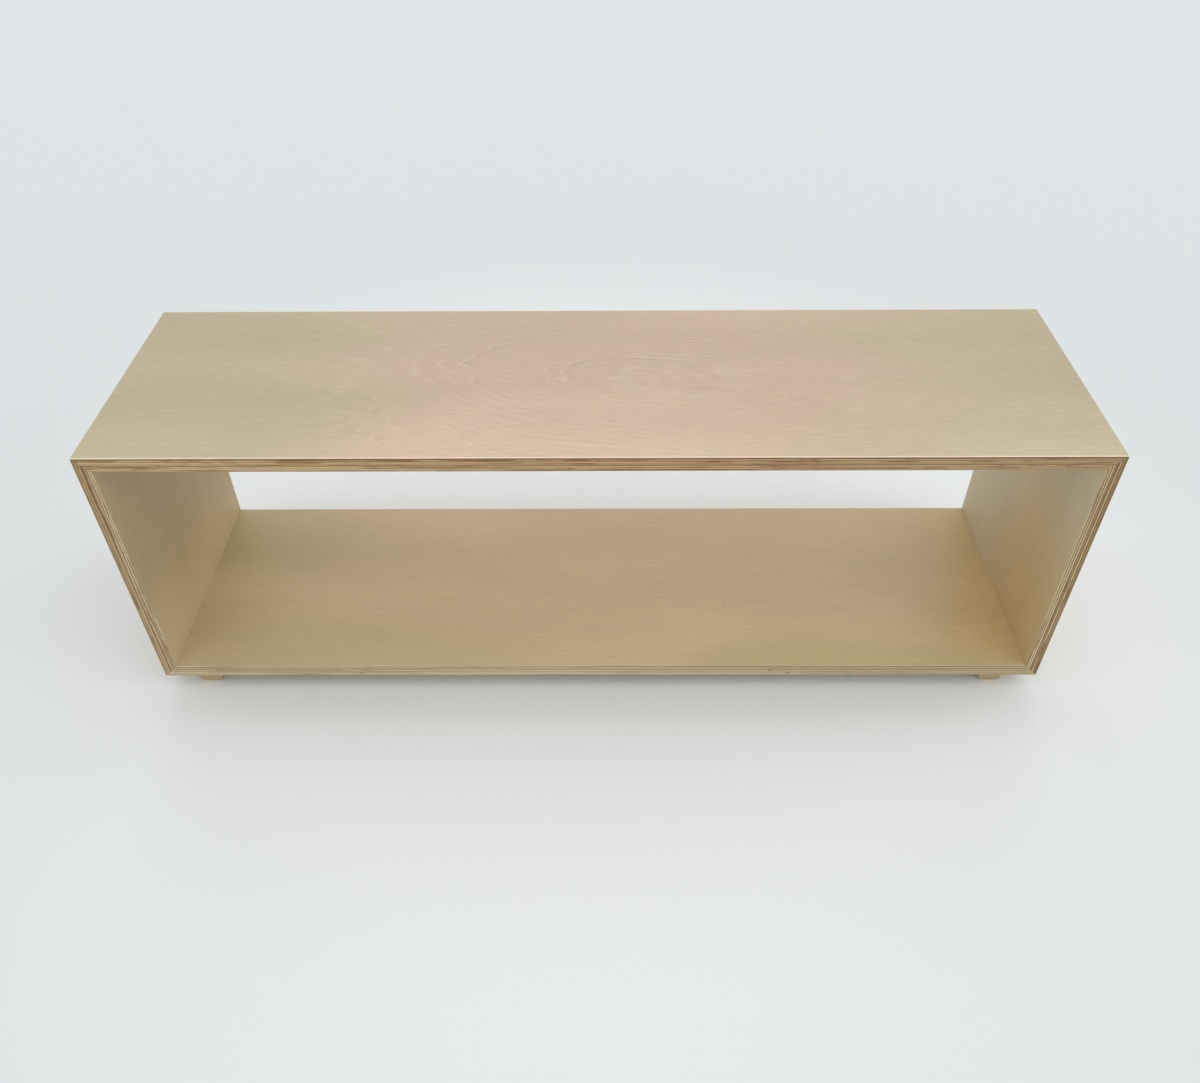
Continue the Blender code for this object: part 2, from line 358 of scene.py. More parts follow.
# the sweep loses sight of the outline's points, so each one takes its place along as a named attribute
outline = add_node(g, STORE, {"Geometry": outline, "Name": "outline_place", "Value": here},
                   data_type="FLOAT_VECTOR", domain="POINT")
print("nodes for the outline:", len(g.nodes))

# %% [markdown]
# ### From the outline to the mitred board
# The sweep needs a few stations near each end, where the outer face bends down into the rounded corner of the
# box. Every station knows how far it lies behind the mitre and how deep the rounding has cut there. After the
# sweep each point is put where the outline and its station say, and since the distance from the end grows
# with the depth below the outer face, the end comes out as a mitre.

# %% Geometry Nodes tree: stations along the board
EIGHTH_TURN = pi / 4
# the sine of 45 degrees, at which a mitre cuts
SLANT = sqrt(0.5)
stations = add_node(g, MATH, {0: size["Corner Steps"], 1: 1.0}, operation="ADD")
all_stations = add_node(g, MATH, {0: stations, 1: 2.0}, operation="MULTIPLY")
left_stations = add_node(g, MATH, {0: stations, 1: 0.5}, operation="SUBTRACT")
at_right = add_node(g, MATH, {0: index, 1: left_stations}, operation="GREATER_THAN")
from_right = add_node(g, MATH, {0: all_stations, 1: index}, operation="SUBTRACT")
from_right = add_node(g, MATH, {0: from_right, 1: 1.0}, operation="SUBTRACT")
station = add_node(g, SWITCH, {"Switch": at_right, "False": index, "True": from_right}, input_type="FLOAT")
turned = add_node(g, MATH, {0: station, 1: size["Corner Steps"]}, operation="DIVIDE")
turned = add_node(g, MATH, {0: turned, 1: -EIGHTH_TURN, 2: EIGHTH_TURN}, operation="MULTIPLY_ADD")
sine = add_node(g, MATH, {0: turned}, operation="SINE")
behind = add_node(g, MATH, {0: SLANT, 1: sine}, operation="SUBTRACT")
behind = add_node(g, MATH, {0: behind, 1: size["Corner Radius"]}, operation="MULTIPLY")
cosine = add_node(g, MATH, {0: turned}, operation="COSINE")
drop = add_node(g, MATH, {0: 1.0, 1: cosine}, operation="SUBTRACT")
drop = add_node(g, MATH, {0: drop, 1: size["Corner Radius"]}, operation="MULTIPLY")
side = add_node(g, MATH, {0: at_right, 1: 2.0, 2: -1.0}, operation="MULTIPLY_ADD")
station_place = add_node(g, JOIN_XYZ, {0: behind, 1: drop, 2: side})
path_place = add_node(g, JOIN_XYZ, {0: index})
path = add_node(g, "GeometryNodePoints", {"Count": all_stations, "Position": path_place})
path = add_node(g, "GeometryNodePointsToCurves", {"Points": path})
path = add_node(g, STORE, {"Geometry": path, "Name": "station_place", "Value": station_place},
                data_type="FLOAT_VECTOR", domain="POINT")
print("nodes with the stations:", len(g.nodes))

# %% Geometry Nodes tree: sweep and mitre
board = add_node(g, "GeometryNodeCurveToMesh", {"Curve": path, "Profile Curve": outline, "Fill Caps": True})
own_outline = add_node(g, RECALL, {"Name": "outline_place"}, data_type="FLOAT_VECTOR")
own_outline = add_node(g, SPLIT_XYZ, {0: own_outline}).node.outputs
own_station = add_node(g, RECALL, {"Name": "station_place"}, data_type="FLOAT_VECTOR")
own_station = add_node(g, SPLIT_XYZ, {0: own_station}).node.outputs
tip = add_node(g, MATH, {0: size["Corner Radius"], 1: 1 - SLANT}, operation="MULTIPLY")
deep = add_node(g, MATH, {0: own_outline[1], 1: tip}, operation="MAXIMUM")
half_length = add_node(g, MATH, {0: size["Length"], 1: 0.5}, operation="MULTIPLY")
half_length = add_node(g, MATH, {0: size["Glue Line"], 1: -SLANT, 2: half_length}, operation="MULTIPLY_ADD")
reach = add_node(g, MATH, {0: half_length, 1: deep}, operation="SUBTRACT")
reach = add_node(g, MATH, {0: reach, 1: own_station[0]}, operation="SUBTRACT")
reach = add_node(g, MATH, {0: reach, 1: own_station[2]}, operation="MULTIPLY")
height = add_node(g, MATH, {0: own_outline[1], 1: own_station[1]}, operation="MAXIMUM")
height = add_node(g, MATH, {0: height, 1: -1.0}, operation="MULTIPLY")
final_place = add_node(g, JOIN_XYZ, {0: reach, 1: own_outline[0], 2: height})
board = add_node(g, "GeometryNodeSetPosition", {"Geometry": board, "Position": final_place})
for name in ("outline_place", "station_place"):
    board = add_node(g, "GeometryNodeRemoveAttribute", {"Geometry": board, "Name": name})
board = add_node(g, "GeometryNodeRealizeInstances", {"Geometry": board})
board = add_node(g, "GeometryNodeSetMaterial", {"Geometry": board, "Material": size["Material"]})
add_node(g, "NodeGroupOutput", {0: board})
print("nodes for the whole board:", len(g.nodes))

# %% [markdown]
# ### One function turns a tree into a piece
# A modifier's result only exists while Blender evaluates it. The piece that is handed on is a plain mesh, so
# the evaluated shape is copied out, moved to its place on the shelf, and welded, and its faces are turned
# outwards. Flat shading keeps a flat board flat to the eye, and only turned work is shaded smooth.

# %% Make a plain mesh from a tree
WELD = 0.001 * MM
TOO_SHORT = 0.0001 * MM
SHARP = radians(35)


def copy_out(thing, modifier):
    thing.update_tag()
    ready = thing.evaluated_get(bpy.context.evaluated_depsgraph_get())
    mesh = bpy.data.meshes.new_from_object(ready)
    thing.modifiers.remove(modifier)
    return mesh


def from_tree(name, tree, inputs, place=Matrix(), turned=False):
    carrier = add_object(name + "_carrier", bpy.data.meshes.new(name + "_carrier"))
    modifier = carrier.modifiers.new("tree", "NODES")
    modifier.node_group = tree
    for item in tree.interface.items_tree:
        if item.in_out == "INPUT" and item.name in inputs:
            modifier[item.identifier] = inputs[item.name]
    mesh = copy_out(carrier, modifier)
    bpy.data.objects.remove(carrier)
    mesh.name = name
    mesh.transform(place)
    welded = bmesh.new()
    welded.from_mesh(mesh)
    bmesh.ops.remove_doubles(welded, verts=welded.verts, dist=WELD)
    bmesh.ops.dissolve_degenerate(welded, edges=welded.edges, dist=TOO_SHORT)
    bmesh.ops.recalc_face_normals(welded, faces=welded.faces)
    open_edges = sum(not edge.is_manifold for edge in welded.edges)
    volume = welded.calc_volume(signed=True)
    welded.to_mesh(mesh)
    welded.free()
    if turned:
        mesh.shade_smooth()
        mesh.set_sharp_from_angle(angle=SHARP)
    else:
        mesh.shade_flat()
    print(f"{name}: {len(mesh.polygons)} faces, {open_edges} open edges, {volume * 1e6:.1f} cm3")
    return add_object(name, mesh)


# %% [markdown]
# ### Pockets for the joinery
# Inside each mitre sit three beech biscuits, glued into slots, and the screws reach up into the bottom board.
# The CAD solids of the biscuits and screws are in their places already, so copies of them, made a little
# larger, cut their own pockets. A Boolean modifier does that, and its result is copied out as before.

# %% Cut the pockets
POCKET_ROOM = 0.2 * MM


def cut_pockets(piece, nodes):
    cutter_mesh = bpy.data.meshes.new("pockets")
    cutter = bmesh.new()
    for node in nodes:
        cutter.from_mesh(frame["nodes"][node].data)
    # a CAD mesh is loose triangles, so it is welded before it grows
    bmesh.ops.remove_doubles(cutter, verts=cutter.verts, dist=WELD)
    cutter.normal_update()
    for vert in cutter.verts:
        vert.co += vert.normal * POCKET_ROOM
    cutter.to_mesh(cutter_mesh)
    cutter.free()
    tool = add_object("pockets", cutter_mesh)
    modifier = piece.modifiers.new("pockets", "BOOLEAN")
    modifier.object = tool
    modifier.operation = "DIFFERENCE"
    modifier.solver = "EXACT"
    uncut = piece.data
    piece.data = copy_out(piece, modifier)
    bpy.data.meshes.remove(uncut)
    piece.data.name = piece.name
    bpy.data.objects.remove(tool)
    bpy.data.meshes.remove(cutter_mesh)
    check = bmesh.new()
    check.from_mesh(piece.data)
    open_edges = sum(not edge.is_manifold for edge in check.edges)
    check.free()
    print(f"{piece.name}: {len(nodes)} pockets, {len(piece.data.polygons)} faces, {open_edges} open edges")


# %% [markdown]
# ## Birch plywood
# Birch veneer is peeled from a turning log, so its face shows broad wavy contour lines rather than straight
# stripes: the knife cuts through the growth rings at a slant. The wood is pale, olive in the sapwood and
# slightly pink near the heart, under a clear satin lacquer. On the edges every veneer has a tone of its own,
# from cream to brown.
# An image of each face could be wrapped round the board, but then face and edge would not belong together.
# So all of it is one solid texture. A Mapping node gives each point of a board its place along the grain,
# across it and below the outer face. The depth says which veneer a point belongs to, and that decides the
# rest. The texture is put together in steps, and each step is a function that adds to one tree.

# %% Where a point lies in its board
# the outermost points are kept a hair inside the first and the last veneer
SKIN = 0.0005
# how far apart two sheets are in a noise, so that no two look alike
SHEET_STEP = 7.31


def place_in_board(t, board):
    at = SimpleNamespace()
    spot = add_node(t, "ShaderNodeTexCoord", out="Object")
    # with a Z scale of -1, depth is counted from the outer face inwards
    at.spot = add_node(t, MAPPING, {"Vector": spot, "Location": board.place, "Rotation": board.turn,
                                    "Scale": (1, 1, -1)}, vector_type="TEXTURE")
    at.along, across, below = add_node(t, SPLIT_XYZ, {0: at.spot}).node.outputs
    # from -1 at the front edge to 1 at the back edge, and from 0 in the middle to 1 at both
    at.aside = add_node(t, MATH, {0: across, 1: DEPTH / 2}, operation="DIVIDE")
    at.outwards = add_node(t, MATH, {0: at.aside}, operation="ABSOLUTE")
    # from 0 on the outer face to 1 on the inner face, and from 0 in the middle to 0.5 at both
    at.share = add_node(t, RANGE, {"Value": below, "From Min": 0.0, "From Max": BOARD,
                                   "To Min": SKIN, "To Max": 1 - SKIN})
    at.off_middle = add_node(t, MATH, {0: at.share, 1: 0.5}, operation="SUBTRACT")
    at.off_middle = add_node(t, MATH, {0: at.off_middle}, operation="ABSOLUTE")
    # which veneer, how deep in it, and whether its grain runs crosswise
    number = add_node(t, MATH, {0: at.share, 1: VENEERS}, operation="MULTIPLY")
    layer = add_node(t, MATH, {0: number}, operation="FLOOR")
    at.within = add_node(t, MATH, {0: number}, operation="FRACT")
    cross = add_node(t, MATH, {0: layer, 1: 2.0}, operation="MODULO")
    shift = add_node(t, MATH, {0: layer, 1: SHEET_STEP, 2: board.seed}, operation="MULTIPLY_ADD")
    at.lengthwise = add_node(t, JOIN_XYZ, {0: at.along, 1: across, 2: shift})
    crosswise = add_node(t, JOIN_XYZ, {0: across, 1: at.along, 2: shift})
    at.with_grain = add_node(t, MIX, {FACTOR: cross, VECTOR_A: at.lengthwise, VECTOR_B: crosswise},
                             **MIX_VECTORS)
    # the two faces of a board are different sheets: the tuned figure and zones are on the one that shows
    hidden_half = "GREATER_THAN" if board.shown == "outer" else "LESS_THAN"
    at.turned_away = add_node(t, MATH, {0: at.share, 1: 0.5}, operation=hidden_half)
    return at


print("veneers of", round(BOARD / VENEERS / MM, 2), "mm")

# %% [markdown]
# ### Patterns at their real sizes
# Every mark in the wood is longer along the grain than across it. A noise gets that from its coordinates:
# divided by a length in millimetres one way and by a width the other, one unit of noise is one such mark. The
# third number shifts the noise from veneer to veneer.

# %% Patterns of the wood
PATTERNS = {
    # fibres, wider than real pores, so that they show
    "fibre": dict(way="with_grain", long=30, wide=1.0, sheet=1.0, detail=3.0, roughness=0.6),
    # watering, the soft streaks that shimmer along the grain
    "watering": dict(way="with_grain", long=25, wide=4.0, sheet=1.0, detail=2.0, roughness=0.6),
    # clouds, soft patches of tone
    "cloud": dict(way="lengthwise", long=250, wide=80, sheet=1.0, detail=1.0, roughness=0.5),
    # slow bends and small ripples in the growth rings
    "bend": dict(way="lengthwise", long=330, wide=120, sheet=1.0, detail=1.0, roughness=0.35),
    "ripple": dict(way="lengthwise", long=60, wide=18, sheet=1.0, detail=1.0, roughness=0.5),
    # dark flecks on the faces
    "fleck": dict(way="lengthwise", long=7, wide=2.2, sheet=1.0, detail=0.0, roughness=0.5),
    # brown streaks and dark gaps on the edges, which run through the board from front to back
    "streak": dict(way="lengthwise", long=50, wide=None, sheet=3.7, detail=3.0, roughness=0.6),
    "gap": dict(way="lengthwise", long=11, wide=None, sheet=5.3, detail=0.0, roughness=0.5),
}


def add_patterns(t, at):
    for name, mark in PATTERNS.items():
        narrow = 1 / (mark["wide"] * MM) if mark["wide"] else 0.0
        scale = (1 / (mark["long"] * MM), narrow, mark["sheet"])
        place = add_node(t, VECTOR_MATH, {0: getattr(at, mark["way"]), 1: scale}, operation="MULTIPLY")
        noise = add_node(t, NOISE, {"Vector": place, "Scale": 1.0, "Detail": mark["detail"],
                                    "Roughness": mark["roughness"]})
        setattr(at, name, noise)


print("patterns, long in mm:", {name: mark["long"] for name, mark in PATTERNS.items()})

# %% [markdown]
# ### Growth rings, cut at a slant
# On a peeled sheet the rings are contour lines, like those on a map. Straight bands of a wave texture would
# look sawn, and rings round one centre would look like a target. So the sheet gets a soft landscape: an
# arched ground with one hill for each place where the rings nest. Cutting its height into equal steps gives
# the rings. Each has a pale line and a darker band inside it, and each year has its own strength.

# %% The landscape of the rings
# how far the ground falls from the middle to the long edges, and how far it leans to one side
ARCH, LEAN = -0.42, -0.05
# above this height a crest rises only a tenth as fast, so that no ring closes in on a point
CREST_HEIGHT, CREST_SLOPE = 0.7, 0.1
CREST_BASE = CREST_HEIGHT * (1 - CREST_SLOPE)
BEND_HEIGHT, RIPPLE_HEIGHT = 0.125, 0.1
RINGS, FIRST_RING = 15.0, -1.27


def ring_landscape(t, at, hills):
    ground = add_node(t, MATH, {0: at.aside, 1: ARCH, 2: LEAN}, operation="MULTIPLY_ADD")
    ground = add_node(t, MATH, {0: ground, 1: at.aside}, operation="MULTIPLY")
    for hill_along, hill_across, half_length, half_width, turn, rise in hills:
        hill = add_node(t, MAPPING, {"Vector": at.spot, "Location": (hill_along * MM, hill_across * MM, 0),
                                     "Rotation": (0, 0, radians(turn)),
                                     "Scale": (half_length * MM, half_width * MM, 1)}, vector_type="TEXTURE")
        hill = add_node(t, VECTOR_MATH, {0: hill, 1: hill}, out="Value", operation="DOT_PRODUCT")
        hill = add_node(t, MATH, {0: hill, 1: -1.0}, operation="MULTIPLY")
        hill = add_node(t, MATH, {0: hill}, operation="EXPONENT")
        ground = add_node(t, MATH, {0: hill, 1: rise, 2: ground}, operation="MULTIPLY_ADD")
    crest = add_node(t, MATH, {0: ground, 1: CREST_SLOPE, 2: CREST_BASE}, operation="MULTIPLY_ADD")
    ground = add_node(t, MATH, {0: ground, 1: crest}, operation="MINIMUM")
    ground = add_node(t, MATH, {0: at.bend, 1: BEND_HEIGHT, 2: ground}, operation="MULTIPLY_ADD")
    ground = add_node(t, MATH, {0: at.ripple, 1: RIPPLE_HEIGHT, 2: ground}, operation="MULTIPLY_ADD")
    return add_node(t, MATH, {0: ground, 1: RINGS, 2: FIRST_RING}, operation="MULTIPLY_ADD")


print("rings in one unit of height:", RINGS)

# %% How strong a ring is
# the sheet on the other face has its own figure
REVERSE_FIGURE = 0.28
# the seed decides which years are strong and which are faint
RING_SEED = 31.0
FAINTEST_YEAR = 0.1
# a ripple below the first value leaves only a trace of a ring, and one above the second leaves all of it
FADED, FULL, TRACE = 0.38, 0.6, 0.05
# inside half of its oval the figure is clear, and outside 1.3 times its size a quarter of it is left
CLEAR_TO, DIM_FROM, DIMMED = 0.5, 1.3, 0.25


def ring_strength(t, at, year, board):
    year = add_node(t, MATH, {0: year, 1: board.seed + RING_SEED}, operation="ADD")
    growth = add_node(t, "ShaderNodeTexWhiteNoise", {"W": year}, noise_dimensions="1D")
    strength = add_node(t, RANGE, {"Value": growth, "To Min": FAINTEST_YEAR, "To Max": 1.0})
    figure = add_node(t, RANGE, {"Value": at.turned_away, "To Min": board.figure, "To Max": REVERSE_FIGURE})
    strength = add_node(t, MATH, {0: strength, 1: figure}, operation="MULTIPLY")
    broken = add_node(t, RANGE, {"Value": at.ripple, "From Min": FADED, "From Max": FULL,
                                 "To Min": TRACE, "To Max": 1.0})
    strength = add_node(t, MATH, {0: strength, 1: broken}, operation="MULTIPLY")
    clear_along, clear_across, half_length, half_width = board.clearest
    clear = add_node(t, MAPPING, {"Vector": at.spot, "Location": (clear_along * MM, clear_across * MM, 0),
                                  "Scale": (half_length * MM, half_width * MM, 1)}, vector_type="TEXTURE")
    clear = add_node(t, VECTOR_MATH, {0: clear}, out="Value", operation="LENGTH")
    clear = add_node(t, RANGE, {"Value": clear, "From Min": CLEAR_TO, "From Max": DIM_FROM,
                                "To Min": 1.0, "To Max": DIMMED}, **SMOOTH)
    return add_node(t, MATH, {0: strength, 1: clear}, operation="MULTIPLY")


print("figure of a hidden face:", REVERSE_FIGURE)

# %% Pale lines and darker bands
# shares of one ring: the width of its pale line, and the middle and half width of its darker band
PALE_LINE, DARK_MIDDLE, DARK_HALF = 0.22, 0.42, 0.3
DARK_STRENGTH = 0.5


def growth_rings(t, at, board):
    ring = ring_landscape(t, at, board.hills)
    year = add_node(t, MATH, {0: ring}, operation="FLOOR")
    ring = add_node(t, MATH, {0: ring}, operation="FRACT")
    strength = ring_strength(t, at, year, board)
    line = add_node(t, RANGE, {"Value": ring, "From Min": 0.0, "From Max": PALE_LINE,
                               "To Min": 1.0, "To Max": 0.0}, **SMOOTH)
    line = add_node(t, MATH, {0: line, 1: strength}, operation="MULTIPLY")
    band = add_node(t, MATH, {0: ring, 1: DARK_MIDDLE}, operation="SUBTRACT")
    band = add_node(t, MATH, {0: band}, operation="ABSOLUTE")
    band = add_node(t, RANGE, {"Value": band, "From Min": 0.0, "From Max": DARK_HALF,
                               "To Min": DARK_STRENGTH, "To Max": 0.0}, **SMOOTH)
    band = add_node(t, MATH, {0: band, 1: strength}, operation="MULTIPLY")
    return line, band


print("a pale line takes", PALE_LINE, "of its ring")

# %% [markdown]
# ### The face of a board
# The ground tone is sapwood. Ovals with soft, wavy rims lay warmer or greyer zones over it. Most are the
# heart of the log, as on a real sheet, and some are painted light: warm bounce light and brighter patches,
# named with the boards below. Then come the rings, and a few dark flecks about 5 mm long.

# %% Colour of the faces
# how far the bends push the rim of a zone, where the rim lies, and how far it blurs for a softness of 1
ZONE_WAVE, ZONE_RIM, ZONE_BLUR = 1.2, 1.575, 0.375
# on the other face a zone is pushed out of reach
OUT_OF_REACH = 9.0
# only the highest peaks of its noise become a fleck
FLECK_FROM, FLECK_FULL, FLECK_STRENGTH = 0.865, 0.91, 0.75


def face_colour(t, at, board):
    face = add_node(t, MIX, {FACTOR: at.turned_away, COLOUR_A: colour(board.sap),
                             COLOUR_B: colour(board.reverse)}, **MIX_COLOURS)
    for zone_along, zone_across, half_length, half_width, softness, tone in board.zones:
        zone = add_node(t, MAPPING, {"Vector": at.spot, "Location": (zone_along * MM, zone_across * MM, 0),
                                     "Scale": (half_length * MM, half_width * MM, 1)}, vector_type="TEXTURE")
        zone = add_node(t, VECTOR_MATH, {0: zone}, out="Value", operation="LENGTH")
        zone = add_node(t, MATH, {0: at.bend, 1: ZONE_WAVE, 2: zone}, operation="MULTIPLY_ADD")
        zone = add_node(t, MATH, {0: at.turned_away, 1: OUT_OF_REACH, 2: zone}, operation="MULTIPLY_ADD")
        zone = add_node(t, RANGE, {"Value": zone, "From Min": ZONE_RIM - ZONE_BLUR * softness,
                                   "From Max": ZONE_RIM + ZONE_BLUR * softness,
                                   "To Min": 1.0, "To Max": 0.0}, **SMOOTH)
        face = add_node(t, MIX, {FACTOR: zone, COLOUR_A: face, COLOUR_B: colour(tone)}, **MIX_COLOURS)
    line, band = growth_rings(t, at, board)
    fleck = add_node(t, RANGE, {"Value": at.fleck, "From Min": FLECK_FROM, "From Max": FLECK_FULL,
                                "To Min": 0.0, "To Max": FLECK_STRENGTH})
    for mark, tone in ((band, "#A48C6C"), (line, "#E9DAC4"), (fleck, "#6B4A2E")):
        face = add_node(t, MIX, {FACTOR: mark, COLOUR_A: face, COLOUR_B: colour(tone)}, **MIX_COLOURS)
    return face


print("flecks from", FLECK_FROM, "of the noise up")

# %% [markdown]
# ### The edge of a board
# The edge is what plywood is known by. A colour ramp with hard steps gives each of the thirteen veneers its
# tone, brown streaks of heartwood run along some of them, and here and there a dark gap shows where two
# sheets don't quite meet. The glue leaves a thin dark line between two veneers, but none at the two outer
# faces. Sheets are pieced together, so the tone also drifts a little from one end of the board to the other.

# %% Tones, streaks and gaps
# veneers from heartwood brown to sapwood cream
VENEER_TONES = {"brown": "#8C7046", "tan": "#9A8057", "honey": "#B29A70",
                "straw": "#CAB48C", "cream": "#DED1AA"}
STREAK_FROM, STREAK_FULL = 0.48, 0.74
# streaks gather where a cloud is strong and keep away where it is weak
GATHER, SCATTER = 0.8, -0.4
GAP_FROM, GAP_FULL, GAP_STRENGTH = 0.78, 0.86, 0.8


def veneer_tones(t, at, board):
    ramp = add_node(t, "ShaderNodeValToRGB", {0: at.share})
    ramp.node.color_ramp.interpolation = "CONSTANT"
    stops = ramp.node.color_ramp.elements
    while len(stops) < VENEERS:
        stops.new(0.5)
    for i, veneer in enumerate(board.veneers):
        stops[i].position = i / VENEERS
        stops[i].color = colour(VENEER_TONES[veneer])
    patchy = add_node(t, MATH, {0: at.cloud, 1: GATHER, 2: SCATTER}, operation="MULTIPLY_ADD")
    streak = add_node(t, MATH, {0: at.streak, 1: patchy}, operation="ADD")
    streak = add_node(t, RANGE, {"Value": streak, "From Min": STREAK_FROM, "From Max": STREAK_FULL,
                                 "To Min": 0.0, "To Max": board.streaks}, **SMOOTH)
    edge = add_node(t, MIX, {FACTOR: streak, COLOUR_A: ramp, COLOUR_B: colour("#7C5836")}, **MIX_COLOURS)
    gap = add_node(t, RANGE, {"Value": at.gap, "From Min": GAP_FROM, "From Max": GAP_FULL,
                              "To Min": 0.0, "To Max": GAP_STRENGTH})
    return add_node(t, MIX, {FACTOR: gap, COLOUR_A: edge, COLOUR_B: colour("#4F3622")}, **MIX_COLOURS)


print("veneer tones:", VENEER_TONES)

# %% Drift and glue lines
# how far along the board each of its three tints is full
TINT_PLACES = (0.15, 0.5, 0.85)
# shares of a veneer, counted from its middle
GLUE_FROM, GLUE_FULL, GLUE_STRENGTH = 0.36, 0.5, 0.35
NO_GLUE = 1.0 * MM


def edge_colour(t, at, board):
    edge = veneer_tones(t, at, board)
    way = add_node(t, RANGE, {"Value": at.along, "From Min": -board.length / 2, "From Max": board.length / 2})
    tint = add_node(t, "ShaderNodeValToRGB", {0: way})
    stops = tint.node.color_ramp.elements
    stops.new(0.5)
    for stop, position, tone in zip(stops, TINT_PLACES, board.edge_tints):
        stop.position = position
        stop.color = colour(tone)
    edge = add_node(t, MIX, {FACTOR: 1.0, COLOUR_A: edge, COLOUR_B: tint}, blend_type="MULTIPLY",
                    **MIX_COLOURS)
    glue = add_node(t, MATH, {0: at.within, 1: 0.5}, operation="SUBTRACT")
    glue = add_node(t, MATH, {0: glue}, operation="ABSOLUTE")
    glue = add_node(t, RANGE, {"Value": glue, "From Min": GLUE_FROM, "From Max": GLUE_FULL,
                               "To Min": 0.0, "To Max": GLUE_STRENGTH}, **SMOOTH)
    inner = add_node(t, MATH, {0: at.off_middle, 1: 0.5 - NO_GLUE / BOARD}, operation="LESS_THAN")
    glue = add_node(t, MATH, {0: glue, 1: inner}, operation="MULTIPLY")
    return add_node(t, MIX, {FACTOR: glue, COLOUR_A: edge, COLOUR_B: colour("#6E5234")}, **MIX_COLOURS)


print("no glue line within", NO_GLUE / MM, "mm of a face")

# %% [markdown]
# ### Face, edge and lacquer together
# The depth below a face tells the two apart. Where they meet, a pale line is painted along the arris: a
# painted highlight, as the eased arris catches the light. A paler strip beside it along both long edges is
# painted light as well. Fibres, watering and clouds then shade both alike, and the fibres also give the satin
# lacquer its uneven gloss and a very fine relief.

# %% The painted highlight on the arris
# the painted highlight, counted inwards from the edge and downwards from the face
HIGHLIGHT_FROM, HIGHLIGHT_FULL = 1.8 * MM, 0.9 * MM
HIGHLIGHT_DEEP, HIGHLIGHT_END = 0.5 * MM, 0.8 * MM


def arris_highlight(t, at, board, wood):
    inner_share, outer_share = (1 - inwards / (DEPTH / 2) for inwards in (HIGHLIGHT_FROM, HIGHLIGHT_FULL))
    # a pale line painted along the arris as a highlight, as strong as the board's arris value
    highlight = add_node(t, RANGE, {"Value": at.outwards, "From Min": inner_share, "From Max": outer_share,
                                 "To Min": 0.0, "To Max": board.arris})
    near_face = add_node(t, RANGE, {"Value": at.share, "From Min": HIGHLIGHT_DEEP / BOARD,
                                    "From Max": HIGHLIGHT_END / BOARD, "To Min": 1.0, "To Max": 0.0})
    highlight = add_node(t, MATH, {0: highlight, 1: near_face}, operation="MULTIPLY")
    return add_node(t, MIX, {FACTOR: highlight, COLOUR_A: wood, COLOUR_B: colour("#EADCC0")}, **MIX_COLOURS)


print("rubbed line in mm:", HIGHLIGHT_FROM / MM)

# %% Shading by fibres, watering and clouds, with painted light near the edges and painted shade at the back
# most of a noise lies between these values
NOISE_SPAN = {"From Min": 0.25, "From Max": 0.75}
FIBRE_SHADE, CLOUD_SHADE = 0.075, 0.04
# painted light: a strip along both long edges is made paler, starting at this share of the way to an edge
LIT_STRIP_FROM, LIT_STRIP = 0.6, 0.08


def shading(t, at, board):
    shade = add_node(t, RANGE, {"Value": at.fibre, **NOISE_SPAN,
                                "To Min": 1 - FIBRE_SHADE, "To Max": 1 + FIBRE_SHADE})
    clouds = add_node(t, RANGE, {"Value": at.cloud, **NOISE_SPAN,
                                 "To Min": 1 + CLOUD_SHADE, "To Max": 1 - CLOUD_SHADE})
    watering = add_node(t, RANGE, {"Value": at.watering, **NOISE_SPAN,
                                   "To Min": 1 - board.watering, "To Max": 1 + board.watering})
    # painted shade: each board is made a little darker towards its back edge, where less light falls
    drift = add_node(t, MATH, {0: at.aside, 1: -board.drift, 2: 1.0}, operation="MULTIPLY_ADD")
    # painted light along both long edges, paler towards the edge
    lit_strip = add_node(t, RANGE, {"Value": at.outwards, "From Min": LIT_STRIP_FROM, "From Max": 1.0,
                               "To Min": 1.0, "To Max": 1 + LIT_STRIP * board.arris})
    for part in (clouds, watering, drift, lit_strip):
        shade = add_node(t, MATH, {0: shade, 1: part}, operation="MULTIPLY")
    return shade


print("fibres shade by", FIBRE_SHADE, "and clouds by", CLOUD_SHADE)

# %% Birch plywood material
# faces show down to the first depth, and edges from the second on
FACE_TO, EDGE_FROM = 0.2 * MM, 0.55 * MM
GLOSS_SPAN = {"From Min": 0.3, "From Max": 0.7}
SATIN_LACQUER = {"IOR": 1.5, "Specular IOR Level": 0.3}


def birch_plywood(name, board):
    material, t = start_material(name)
    at = place_in_board(t, board)
    add_patterns(t, at)
    face = face_colour(t, at, board)
    edge = edge_colour(t, at, board)
    rim = add_node(t, RANGE, {"Value": at.off_middle, "From Min": 0.5 - EDGE_FROM / BOARD,
                              "From Max": 0.5 - FACE_TO / BOARD, "To Min": 1.0, "To Max": 0.0})
    wood = add_node(t, MIX, {FACTOR: rim, COLOUR_A: face, COLOUR_B: edge}, **MIX_COLOURS)
    wood = arris_highlight(t, at, board, wood)
    shade = shading(t, at, board)
    wood = add_node(t, VECTOR_MATH, {0: wood, "Scale": shade}, operation="SCALE")
    gloss = add_node(t, RANGE, {"Value": at.fibre, **GLOSS_SPAN, "To Min": 0.56, "To Max": 0.44})
    relief = add_node(t, "ShaderNodeBump", {"Height": at.fibre, "Strength": 0.25, "Distance": 0.1 * MM})
    shader = add_node(t, "ShaderNodeBsdfPrincipled", {"Base Color": wood, "Roughness": gloss,
                                                      "Normal": relief, **SATIN_LACQUER})
    add_node(t, "ShaderNodeOutputMaterial", {"Surface": shader})
    print(f"{name}: {len(t.nodes)} nodes")
    return material
